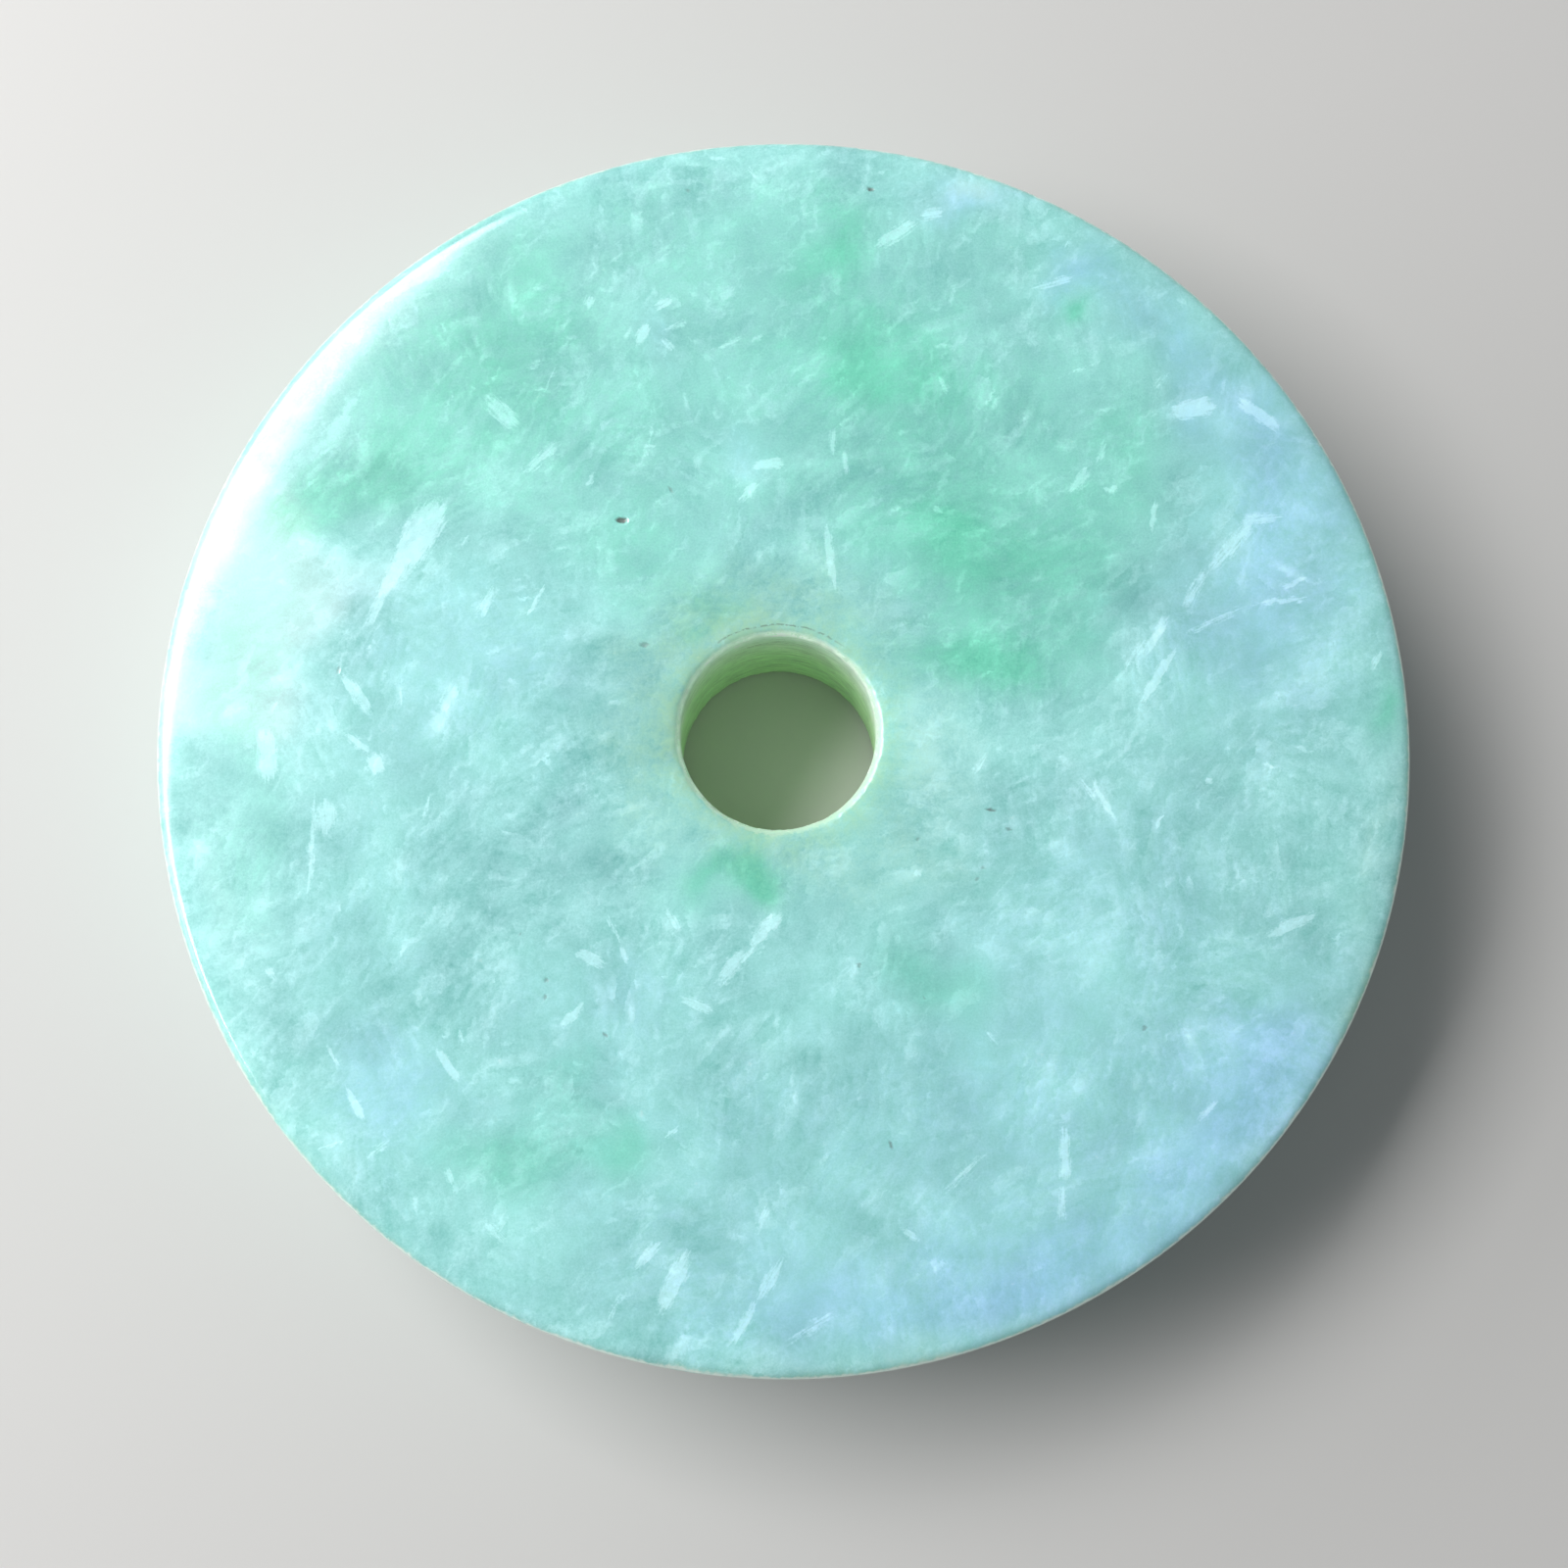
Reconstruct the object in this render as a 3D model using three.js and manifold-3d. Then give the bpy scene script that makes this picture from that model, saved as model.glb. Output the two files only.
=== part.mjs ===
// A plain jade bi disc: a thick round plate of jade with flat polished faces, soft edges and a round hole.
// Millimetres, +Z up. The origin is the middle of the underside, where the disc rests.
// +Y runs away from a person who looks down on the disc, and +X to that person's right.

import * as THREE from "three";
import { mergeVertices } from "three/addons/utils/BufferGeometryUtils.js";
import Module from "manifold-3d";

// The plate.
const DISC_DIAMETER = 58;
const DISC_THICKNESS = 10.5;
const EDGE_RADIUS = 0.55; // the rounded arris between a face and the rim
const RIM_BELLY = 0.12; // the rim stands out this much at half height
const FACE_ROLL_WIDTH = 4; // the band inside the arris that polishing has turned down
const FACE_ROLL_DROP = 0.08; // how far that band has dropped where it meets the arris

// The hole, drilled from the underside with a drill that wore down, so it narrows upwards.
const HOLE_TOP_DIAMETER = 9;
const HOLE_BOTTOM_DIAMETER = 9.7;
const HOLE_LIP_RADIUS = 0.4; // the worn lip at each end of the hole
const HOLE_OFF_CENTRE = -0.26; // along X, from the middle of the plate
const CUT_PAST_FACE = 1; // how far the drilled shape runs past each face

// How finely round shapes are cut into facets.
const DISC_FACETS = 120;
const HOLE_FACETS = 60;
const ARC_STEPS = 5;
const ROLL_STEPS = 3;
const BELLY_STEPS = 4;
const MERGE_DISTANCE = 1e-4; // points closer than this are one point

const JADE_COLOUR = "#a9dccb";
const JADE_ROUGHNESS = 0.22;

// Points of a quarter circle or less about a centre, from one angle to another, in radians.
function arc(centreR, centreZ, radius, from, to) {
  const points = [];
  for (let i = 0; i <= ARC_STEPS; i++) {
    const angle = from + ((to - from) * i) / ARC_STEPS;
    points.push(
      new THREE.Vector2(
        centreR + radius * Math.cos(angle),
        centreZ + radius * Math.sin(angle),
      ),
    );
  }
  return points;
}

// A closed solid turned about the Z axis from a profile of (radius, height) points, axis to axis, going up.
function turned(profile, facets) {
  const geometry = new THREE.LatheGeometry(profile, facets);
  return geometry.rotateX(Math.PI / 2);
}

// The half of the plate's profile below its middle, from the axis outwards and up to half height.
function lowerHalfProfile() {
  const half = DISC_THICKNESS / 2;
  const edgeR = DISC_DIAMETER / 2 - RIM_BELLY;
  const rollEndR = edgeR - EDGE_RADIUS;
  const rollStartR = rollEndR - FACE_ROLL_WIDTH;
  const points = [new THREE.Vector2(0, 0)];
  for (let i = 0; i < ROLL_STEPS; i++) {
    const share = i / ROLL_STEPS;
    points.push(
      new THREE.Vector2(
        rollStartR + share * FACE_ROLL_WIDTH,
        FACE_ROLL_DROP * share * share,
      ),
    );
  }
  const arrisZ = FACE_ROLL_DROP + EDGE_RADIUS;
  points.push(...arc(rollEndR, arrisZ, EDGE_RADIUS, -Math.PI / 2, 0));
  for (let i = 1; i <= BELLY_STEPS; i++) {
    const share = i / BELLY_STEPS;
    points.push(
      new THREE.Vector2(
        edgeR + RIM_BELLY * Math.sin((share * Math.PI) / 2),
        arrisZ + share * (half - arrisZ),
      ),
    );
  }
  return points;
}

// The whole plate, with no hole yet.
function plate() {
  const lower = lowerHalfProfile();
  const upper = lower
    .slice(0, -1)
    .reverse()
    .map((p) => new THREE.Vector2(p.x, DISC_THICKNESS - p.y));
  return turned([...lower, ...upper], DISC_FACETS);
}

// What the drill and the rubbing at its two mouths took away.
function drilledShape() {
  const bottomR = HOLE_BOTTOM_DIAMETER / 2;
  const topR = HOLE_TOP_DIAMETER / 2;
  const lip = HOLE_LIP_RADIUS;
  const profile = [
    new THREE.Vector2(0, -CUT_PAST_FACE),
    new THREE.Vector2(bottomR + lip, -CUT_PAST_FACE),
    ...arc(bottomR + lip, lip, lip, -Math.PI / 2, -Math.PI),
    ...arc(topR + lip, DISC_THICKNESS - lip, lip, Math.PI, Math.PI / 2),
    new THREE.Vector2(topR + lip, DISC_THICKNESS + CUT_PAST_FACE),
    new THREE.Vector2(0, DISC_THICKNESS + CUT_PAST_FACE),
  ];
  return turned(profile, HOLE_FACETS).translate(HOLE_OFF_CENTRE, 0, 0);
}

const wasm = await Module();
wasm.setup();

// A closed three.js geometry as a solid that can be cut. Triangles that shrink to a line at the axis are dropped.
function toSolid(geometry) {
  const bare = geometry.clone();
  bare.deleteAttribute("normal");
  bare.deleteAttribute("uv");
  const merged = mergeVertices(bare, MERGE_DISTANCE);
  const index = merged.index.array;
  const triangles = [];
  for (let i = 0; i < index.length; i += 3) {
    const [a, b, c] = [index[i], index[i + 1], index[i + 2]];
    if (a !== b && b !== c && c !== a) triangles.push(a, b, c);
  }
  return new wasm.Manifold(
    new wasm.Mesh({
      numProp: 3,
      vertProperties: merged.attributes.position.array,
      triVerts: new Uint32Array(triangles),
    }),
  );
}

// A solid back as a three.js geometry.
function toGeometry(solid) {
  const mesh = solid.getMesh();
  const geometry = new THREE.BufferGeometry();
  geometry.setAttribute(
    "position",
    new THREE.BufferAttribute(mesh.vertProperties, mesh.numProp),
  );
  geometry.setIndex(new THREE.BufferAttribute(mesh.triVerts, 1));
  geometry.computeVertexNormals();
  return geometry;
}

// The disc: one piece of stone, the plate less what was drilled out of it.
function biDisc() {
  const stone = toSolid(plate()).subtract(toSolid(drilledShape()));
  const jade = new THREE.MeshStandardMaterial({
    color: JADE_COLOUR,
    roughness: JADE_ROUGHNESS,
    metalness: 0,
  });
  const mesh = new THREE.Mesh(toGeometry(stone), jade);
  mesh.name = "bi_disc";
  return mesh;
}

const part = new THREE.Group();
part.add(biDisc());

export default part;
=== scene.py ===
import math

import bmesh
import bpy
import numpy as np
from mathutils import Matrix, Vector, noise


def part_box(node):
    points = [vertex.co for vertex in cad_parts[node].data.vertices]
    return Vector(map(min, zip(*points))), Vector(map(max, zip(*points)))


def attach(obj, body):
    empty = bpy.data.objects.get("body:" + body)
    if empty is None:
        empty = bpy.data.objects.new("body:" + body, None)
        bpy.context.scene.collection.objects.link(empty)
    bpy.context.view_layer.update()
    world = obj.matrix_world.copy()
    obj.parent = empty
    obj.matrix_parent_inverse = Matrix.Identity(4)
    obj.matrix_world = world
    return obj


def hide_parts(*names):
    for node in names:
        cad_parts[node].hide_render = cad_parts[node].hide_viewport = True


bl_info = {
    "name": "Jade Bi Disc",
    "version": (1, 0, 0),
    "blender": (4, 5, 0),
    "location": "View3D > Sidebar > Bi Disc",
    "description": "Makes a polished bi disc of mottled jade, and the stage it lies on",
    "category": "Add Mesh",
}

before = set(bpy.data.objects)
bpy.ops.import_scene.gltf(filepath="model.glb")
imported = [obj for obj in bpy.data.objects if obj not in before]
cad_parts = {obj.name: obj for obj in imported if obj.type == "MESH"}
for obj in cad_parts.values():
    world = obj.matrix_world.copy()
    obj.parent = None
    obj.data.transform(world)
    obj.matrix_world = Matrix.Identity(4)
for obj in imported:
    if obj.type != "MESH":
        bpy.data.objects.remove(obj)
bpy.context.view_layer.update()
STONE_LOW, STONE_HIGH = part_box("bi_disc")

MM = 0.001


# Node trees as Python expressions


class Value:
    """An output of a node. Each operator on it adds the Math node that works it out."""

    def __init__(self, net, socket):
        self.net = net
        self.socket = socket

    def math(self, operation, first, second):
        return self.net.add("ShaderNodeMath", {"operation": operation}, {0: first, 1: second})

    def __add__(self, other):
        return self.math("ADD", self, other)

    __radd__ = __add__

    def __sub__(self, other):
        return self.math("SUBTRACT", self, other)

    def __rsub__(self, other):
        return self.math("SUBTRACT", other, self)

    def __mul__(self, other):
        return self.math("MULTIPLY", self, other)

    __rmul__ = __mul__

    def __truediv__(self, other):
        return self.math("DIVIDE", self, other)

    def __rtruediv__(self, other):
        return self.math("DIVIDE", other, self)


class Net:
    """A node tree that is filled by calls."""

    def __init__(self, tree):
        self.tree = tree

    def add(self, kind, settings=None, sockets=None, out=0):
        """Adds a node, sets it, fills its sockets with values or links, and gives one of its outputs."""
        node = self.tree.nodes.new(kind)
        for name, value in (settings or {}).items():
            setattr(node, name, value)
        for key, value in (sockets or {}).items():
            if isinstance(value, Value):
                self.tree.links.new(value.socket, node.inputs[key])
            elif isinstance(value, (list, tuple)) and value and isinstance(value[0], Value):
                for one in value:
                    self.tree.links.new(one.socket, node.inputs[key])
            else:
                node.inputs[key].default_value = value
        return Value(self, node.outputs[out])

    def sibling(self, value, out):
        """Another output of the node that a value comes from."""
        return Value(self, value.socket.node.outputs[out])

    def vector(self, operation, first, second=None, scale=None):
        """A step of vector maths."""
        sockets = {0: first}
        if second is not None:
            sockets[1] = second
        if scale is not None:
            sockets["Scale"] = scale
        return self.add("ShaderNodeVectorMath", {"operation": operation}, sockets)

    def rise(self, value, low, high, top=1.0):
        """0 below low and top above high, with a smooth step between."""
        return self.add(
            "ShaderNodeMapRange",
            {"interpolation_type": "SMOOTHSTEP"},
            {"Value": value, "From Min": low, "From Max": high, "To Max": top},
        )

    def blend(self, share, first, second):
        """A colour between two colours."""
        return self.add("ShaderNodeMix", {"data_type": "RGBA"}, {0: share, 6: first, 7: second}, out=2)

    def noise(self, place, size, detail=2.0, roughness=0.5):
        """Soft noise from 0 to 1, with features of one size."""
        sockets = {"Vector": place, "Scale": 1 / size, "Detail": detail, "Roughness": roughness}
        return self.add("ShaderNodeTexNoise", {}, sockets)

    def painted(self, name):
        """A value that the mesh holds at each of its points."""
        return self.add("ShaderNodeAttribute", {"attribute_name": name}, out="Fac")


# What a user may change


def length(name, description, millimetres):
    return bpy.props.FloatProperty(
        name=name, description=description, default=millimetres * MM, subtype="DISTANCE", unit="LENGTH", precision=5
    )


def colour(name, description, red, green, blue):
    return bpy.props.FloatVectorProperty(
        name=name, description=description, default=(red, green, blue), subtype="COLOR", min=0.0, max=1.0
    )


class BiDiscSizes(bpy.types.PropertyGroup):
    """Sizes of the disc."""

    diameter: length("Diameter", "Across the rim at half height", (STONE_HIGH.x - STONE_LOW.x) / MM)
    thickness: length("Thickness", "Between the two faces", (STONE_HIGH.z - STONE_LOW.z) / MM)
    edge_radius: length("Edge radius", "Rounding between a face and the rim", 0.55)
    rim_belly: length("Rim belly", "How far the rim stands out at half height", 0.12)
    roll_width: length("Face roll width", "Band inside the edge that polishing has turned down", 4.0)
    roll_drop: length("Face roll drop", "How far that band has dropped at the edge", 0.08)
    hole_top: length("Hole at the top", "Diameter of the hole at the upper face", 9.0)
    hole_bottom: length("Hole at the bottom", "Diameter of the hole at the underside", 9.7)
    lip_radius: length("Lip radius", "Worn rounding at the mouths of the hole", 0.4)
    hole_shift: length("Hole shift", "How far the hole is off centre, along X", -0.26)


class JadeColours(bpy.types.PropertyGroup):
    """Colours in the stone."""

    body: colour("Body", "Pale blue-green of most of the stone", 0.344, 0.728, 0.705)
    green: colour("Green", "Emerald clouds", 0.160, 0.632, 0.455)
    lilac: colour("Lilac", "Blue and lavender clouds", 0.325, 0.625, 0.855)
    cream: colour("Cream", "Stain on the edges and near the hole", 0.360, 0.650, 0.415)
    wall: colour("Wall of the hole", "Unpolished stone in the hole", 0.600, 0.900, 0.490)
    dirt: colour("Dirt", "Dirt in pits", 0.060, 0.070, 0.060)


class StageSizes(bpy.types.PropertyGroup):
    """Camera and light."""

    lens: bpy.props.FloatProperty(
        name="Lens", description="Focal length in millimetres on a 36 mm sensor", default=45.0, unit="CAMERA"
    )
    window: bpy.props.FloatProperty(
        name="Window light", description="Power of the soft light at the upper left", default=2.2, unit="POWER"
    )
    side: bpy.props.FloatProperty(
        name="Side light", description="Power of the low soft light at the left", default=2.1, unit="POWER"
    )
    fill: bpy.props.FloatProperty(
        name="Room light", description="Brightness of the light from all round", default=0.22, min=0.0
    )


# The disc as a turned shape

TURN_STEPS = 288
RAIL_RADIUS = MM
WELD_DISTANCE = 1e-6
LIP_STEPS = 8
EDGE_STEPS = 8
ROLL_STEPS = 11
BELLY_STEPS = 8
UPPER_FACE_STEPS = 50
UNDERSIDE_STEPS = 20
WALL_STEPS = 36
HOLE_REACH = 12 * MM
COS_45 = math.sqrt(0.5)


def point(net, radius, height):
    """A point of the profile. The rail that the profile runs along has a small radius of its own."""
    return net.add("ShaderNodeCombineXYZ", {}, {"X": radius - RAIL_RADIUS, "Y": 0 - height})


def straight(net, start, end, steps):
    """A straight stretch of the profile."""
    line = net.add("GeometryNodeCurvePrimitiveLine", {"mode": "POINTS"}, {"Start": start, "End": end})
    return net.add("GeometryNodeResampleCurve", {}, {"Curve": line, "Count": steps + 1})


def bend(net, start, middle, end, steps):
    """A stretch that leaves towards its middle point and arrives from it."""
    sockets = {"Start": start, "Middle": middle, "End": end, "Resolution": steps}
    return net.add("GeometryNodeCurveQuadraticBezier", {}, sockets)


def corner(net, start, middle, end, steps):
    """A round stretch through three points."""
    sockets = {"Start": start, "Middle": middle, "End": end, "Resolution": steps + 1}
    return net.add("GeometryNodeCurveArc", {"mode": "POINTS"}, sockets)


def half_profile(net, size, side, hole_radius, face_steps):
    """Stretches from the hole to half way up the rim: for side 1 the upper half, for side -1 the lower one."""
    middle = 0.5 * size["thickness"]
    face = middle + side * middle
    lip = size["lip_radius"]
    edge = size["edge_radius"]
    rim = 0.5 * size["diameter"]
    edge_end = rim - size["rim_belly"]
    roll_end = edge_end - edge
    roll_start = roll_end - size["roll_width"]
    roll_face = face - side * size["roll_drop"]
    edge_face = roll_face - side * edge
    lip_cut = (1 - COS_45) * lip
    edge_cut = (1 - COS_45) * edge
    lip_from = point(net, hole_radius, face - side * lip)
    lip_middle = point(net, hole_radius + lip_cut, face - side * lip_cut)
    lip_to = point(net, hole_radius + lip, face)
    roll_from = point(net, roll_start, face)
    roll_middle = point(net, roll_start + 0.5 * size["roll_width"], face)
    roll_to = point(net, roll_end, roll_face)
    edge_middle = point(net, edge_end - edge_cut, roll_face - side * edge_cut)
    edge_to = point(net, edge_end, edge_face)
    belly_middle = point(net, rim, 0.5 * (edge_face + middle))
    belly_to = point(net, rim, middle)
    return [
        corner(net, lip_from, lip_middle, lip_to, LIP_STEPS),
        straight(net, lip_to, roll_from, face_steps),
        bend(net, roll_from, roll_middle, roll_to, ROLL_STEPS),
        corner(net, roll_to, edge_middle, edge_to, EDGE_STEPS),
        bend(net, edge_to, belly_middle, belly_to, BELLY_STEPS),
    ]


def turned_disc_tree(material):
    """Geometry nodes that turn the profile about the axis and shift the hole off centre."""
    tree = bpy.data.node_groups.new("turned_disc", "GeometryNodeTree")
    tree.interface.new_socket("Geometry", in_out="OUTPUT", socket_type="NodeSocketGeometry")
    for name in BiDiscSizes.__annotations__:
        tree.interface.new_socket(name, in_out="INPUT", socket_type="NodeSocketFloat")
    net = Net(tree)
    inputs = tree.nodes.new("NodeGroupInput")
    size = {name: Value(net, inputs.outputs[name]) for name in BiDiscSizes.__annotations__}
    top_radius = 0.5 * size["hole_top"]
    bottom_radius = 0.5 * size["hole_bottom"]
    wall_top = point(net, top_radius, size["thickness"] - size["lip_radius"])
    wall_bottom = point(net, bottom_radius, size["lip_radius"])
    stretches = half_profile(net, size, 1, top_radius, UPPER_FACE_STEPS)
    stretches += half_profile(net, size, -1, bottom_radius, UNDERSIDE_STEPS)
    stretches.append(straight(net, wall_top, wall_bottom, WALL_STEPS))
    profile = net.add("GeometryNodeJoinGeometry", {}, {0: stretches})
    rail = net.add("GeometryNodeCurvePrimitiveCircle", {}, {"Resolution": TURN_STEPS, "Radius": RAIL_RADIUS})
    turned = net.add("GeometryNodeCurveToMesh", {}, {"Curve": rail, "Profile Curve": profile})
    welded = net.add("GeometryNodeMergeByDistance", {}, {"Geometry": turned, "Distance": WELD_DISTANCE})
    flat = net.vector("MULTIPLY", net.add("GeometryNodeInputPosition"), (1.0, 1.0, 0.0))
    radius = net.vector("LENGTH", flat)
    radius = net.sibling(radius, "Value")
    near_hole = 1 - net.rise(radius, bottom_radius + size["lip_radius"], HOLE_REACH)
    shift = net.add("ShaderNodeCombineXYZ", {}, {"X": size["hole_shift"] * near_hole})
    shifted = net.add("GeometryNodeSetPosition", {}, {"Geometry": welded, "Offset": shift})
    smooth = net.add("GeometryNodeSetShadeSmooth", {}, {"Geometry": shifted, "Shade Smooth": True})
    real = net.add("GeometryNodeRealizeInstances", {}, {"Geometry": smooth})
    finished = net.add("GeometryNodeSetMaterial", {}, {"Geometry": real, "Material": material})
    output = tree.nodes.new("NodeGroupOutput")
    tree.links.new(finished.socket, output.inputs[0])
    return tree


def turned_disc(sizes, material):
    """The disc as a plain mesh object."""
    tree = turned_disc_tree(material)
    holder = bpy.data.objects.new("turned_disc", bpy.data.meshes.new("turned_disc"))
    bpy.context.scene.collection.objects.link(holder)
    turning = holder.modifiers.new("turning", "NODES")
    turning.node_group = tree
    for item in tree.interface.items_tree:
        if item.in_out == "INPUT":
            turning[item.identifier] = getattr(sizes, item.name)
    evaluated = holder.evaluated_get(bpy.context.evaluated_depsgraph_get())
    mesh = bpy.data.meshes.new_from_object(evaluated)
    mesh.name = "jade_disc"
    bpy.data.objects.remove(holder)
    disc = bpy.data.objects.new("jade_disc", mesh)
    bpy.context.scene.collection.objects.link(disc)
    return disc


# What the stone looks like, place by place. All places are on the upper face, in millimetres from its middle.
# Each cloud: x, y, half length, half width, turn in degrees, strength.

GREEN_CLOUDS = [
    (-16.5, 16.5, 6.5, 5.0, 40, 0.44),
    (-20.8, 11.1, 4.2, 1.6, 15, 0.60),
    (-12.2, 20.5, 3.5, 2.5, 90, 0.22),
    (-9.0, 12.0, 6.0, 5.0, 0, 0.22),
    (2.4, 23.0, 2.0, 1.6, 60, 0.48),
    (4.6, 17.6, 3.4, 2.0, -10, 0.58),
    (2.0, 18.0, 17.0, 9.0, 0, 0.38),
    (0.0, 24.5, 12.0, 3.0, 0, 0.20),
    (8.0, 8.6, 3.0, 1.9, 0, 0.48),
    (9.0, 3.4, 3.8, 1.5, 4, 0.62),
    (9.5, 6.0, 5.0, 4.5, 0, 0.44),
    (12.5, 2.0, 3.0, 1.5, 0, 0.22),
    (4.0, 12.5, 5.0, 2.5, 0, 0.18),
    (13.5, 8.0, 3.2, 2.2, 70, 0.18),
    (16.3, 14.3, 3.2, 2.2, 60, 0.14),
    (9.0, 13.0, 6.0, 4.5, 0, 0.20),
    (16.5, 11.0, 4.0, 6.0, 0, 0.22),
    (-1.6, -6.9, 2.0, 0.85, 0, 0.86),
    (-3.0, -7.2, 3.2, 1.8, 0, 0.30),
    (7.0, -11.8, 2.8, 1.7, 120, 0.72),
    (13.6, 20.6, 0.8, 0.6, 40, 0.80),
    (-9.5, -15.6, 1.8, 1.4, 0, 0.40),
    (-11.0, -19.0, 3.5, 2.0, 0, 0.64),
    (-7.3, -18.8, 1.5, 1.2, 0, 0.50),
    (-14.3, -18.8, 2.0, 1.2, 0, 0.35),
    (-24.0, -6.0, 3.5, 2.2, 90, 0.35),
    (27.9, 1.2, 2.0, 0.9, 90, 0.80),
    (-25.0, 2.5, 5.5, 2.6, 90, 0.45),
    (20.8, -2.3, 1.6, 1.0, 90, 0.30),
    (-4.0, 5.8, 2.0, 1.0, 25, 0.55),
    (-6.5, 8.5, 3.0, 2.0, 0, 0.30),
]

LILAC_CLOUDS = [
    (21.8, -15.8, 4.0, 2.6, 50, 0.62),
    (17.5, -21.0, 3.5, 2.0, 45, 0.36),
    (9.5, -25.3, 5.5, 2.2, 15, 0.52),
    (24.0, 6.5, 6.0, 3.8, 90, 0.42),
    (22.6, 12.8, 5.0, 3.0, 110, 0.42),
    (19.0, 4.5, 4.0, 4.0, 0, 0.36),
    (9.0, 25.4, 3.2, 1.2, 10, 0.50),
    (14.0, 21.8, 2.2, 1.6, 50, 0.50),
    (18.4, 18.6, 5.0, 2.0, 130, 0.45),
    (-14.0, 3.5, 6.0, 5.0, 0, 0.34),
    (-6.0, 19.0, 2.0, 1.0, 120, 0.35),
    (-1.8, 13.2, 2.2, 1.0, -10, 0.40),
    (-17.8, -16.5, 3.0, 2.4, -40, 0.40),
    (12.0, -17.0, 11.0, 8.0, 0, 0.40),
    (-8.0, -12.5, 4.0, 3.0, 0, 0.25),
    (0.0, -26.0, 4.0, 2.0, 0, 0.25),
    (16.0, -6.0, 7.0, 5.0, 0, 0.20),
    (-19.0, -9.0, 4.0, 7.0, 0, 0.18),
    (-6.0, -21.0, 9.0, 5.0, -10, 0.22),
    (4.0, -25.5, 12.0, 2.5, 3, 0.18),
]

MILK_CLOUDS = [
    (-25.5, 1.2, 3.2, 1.6, 0, 1.20),
    (-24.5, 5.5, 4.0, 5.0, 0, 1.00),
    (-22.4, 7.4, 1.8, 1.4, 0, 0.60),
    (-21.5, 13.5, 3.0, 2.0, 60, 0.50),
    (-24.5, -6.5, 3.0, 5.0, 0, 0.50),
    (15.0, -8.5, 7.5, 5.0, -20, 0.24),
    (7.0, -3.0, 2.0, 4.0, 0, 0.30),
    (4.0, -21.8, 1.8, 1.5, 40, 0.35),
    (14.0, -16.5, 4.5, 2.5, 0, 0.22),
    (20.5, -17.0, 2.0, 2.0, 0, 0.30),
    (-23.3, 5.0, 2.0, 1.4, 20, 0.45),
    (-14.5, 1.3, 1.6, 1.0, 120, 0.40),
    (-9.0, 22.0, 2.2, 1.0, 110, 0.50),
    (-6.0, 19.5, 1.8, 1.5, 0, 0.50),
    (-1.0, 27.5, 3.0, 1.0, 0, 0.35),
    (-0.7, 12.8, 3.0, 1.0, 0, 0.60),
    (2.5, 13.0, 1.8, 1.0, 90, 0.45),
    (1.5, 8.2, 2.0, 1.1, 90, 0.40),
    (-16.2, 12.9, 1.2, 0.8, 20, 0.45),
    (6.8, 24.6, 3.4, 1.1, 32, 0.65),
    (9.5, 26.3, 1.5, 0.8, 0, 0.75),
    (15.5, 16.8, 2.2, 1.0, 20, 0.35),
    (10.8, 13.6, 1.6, 0.9, 90, 0.35),
    (21.5, 13.8, 2.2, 0.9, -15, 0.45),
    (20.8, 8.3, 3.4, 0.9, 48, 0.60),
    (16.8, 3.0, 2.2, 1.2, 60, 0.55),
    (24.0, 2.5, 2.4, 1.6, 70, 0.60),
    (6.4, 0.3, 2.6, 1.4, 80, 0.60),
    (8.8, -1.4, 1.5, 0.7, 50, 0.35),
    (13.8, -3.0, 1.8, 1.0, -50, 0.45),
    (22.8, -3.4, 2.0, 0.9, 80, 0.45),
    (20.0, -6.0, 2.2, 1.2, 0, 0.35),
    (13.5, -9.5, 3.0, 2.0, 20, 0.35),
    (19.3, -13.0, 1.8, 1.3, 90, 0.35),
    (5.0, -12.3, 2.0, 0.9, 80, 0.35),
    (-9.5, -8.3, 2.6, 1.1, -20, 0.40),
    (-12.6, -10.0, 2.2, 1.4, 80, 0.45),
    (-6.0, -4.8, 1.5, 1.0, 0, 0.30),
    (-19.0, -18.8, 2.2, 1.4, 60, 0.45),
    (-9.0, -20.6, 2.8, 1.0, 0, 0.30),
    (-1.5, -21.5, 2.0, 1.2, 40, 0.30),
    (5.0, -21.0, 4.0, 1.0, 38, 0.30),
    (1.2, -26.3, 2.8, 0.9, 25, 0.45),
    (-24.5, -12.5, 3.0, 1.8, 110, 0.30),
    (-17.4, 8.8, 2.2, 1.0, 60, 0.70),
    (-19.8, 7.0, 1.8, 1.4, 0, 0.45),
    (-24.0, 9.5, 1.8, 2.2, 0, 0.90),
    (19.5, 15.3, 1.5, 0.8, 5, 0.50),
    (11.2, 12.8, 2.4, 1.8, 0, 0.35),
    (-26.0, -8.0, 1.6, 3.0, 0, 0.35),
    (24.2, 7.0, 4.0, 2.0, 80, 0.30),
    (27.4, -3.0, 4.0, 0.9, 88, 0.55),
    (25.2, -11.6, 4.0, 0.9, 65, 0.50),
    (19.0, -20.2, 4.5, 0.9, 43, 0.45),
    (8.0, -26.8, 5.0, 0.9, 14, 0.50),
    (-2.0, -27.6, 4.0, 0.8, 0, 0.40),
    (-19.5, -19.6, 3.5, 0.9, -45, 0.40),
]

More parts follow.
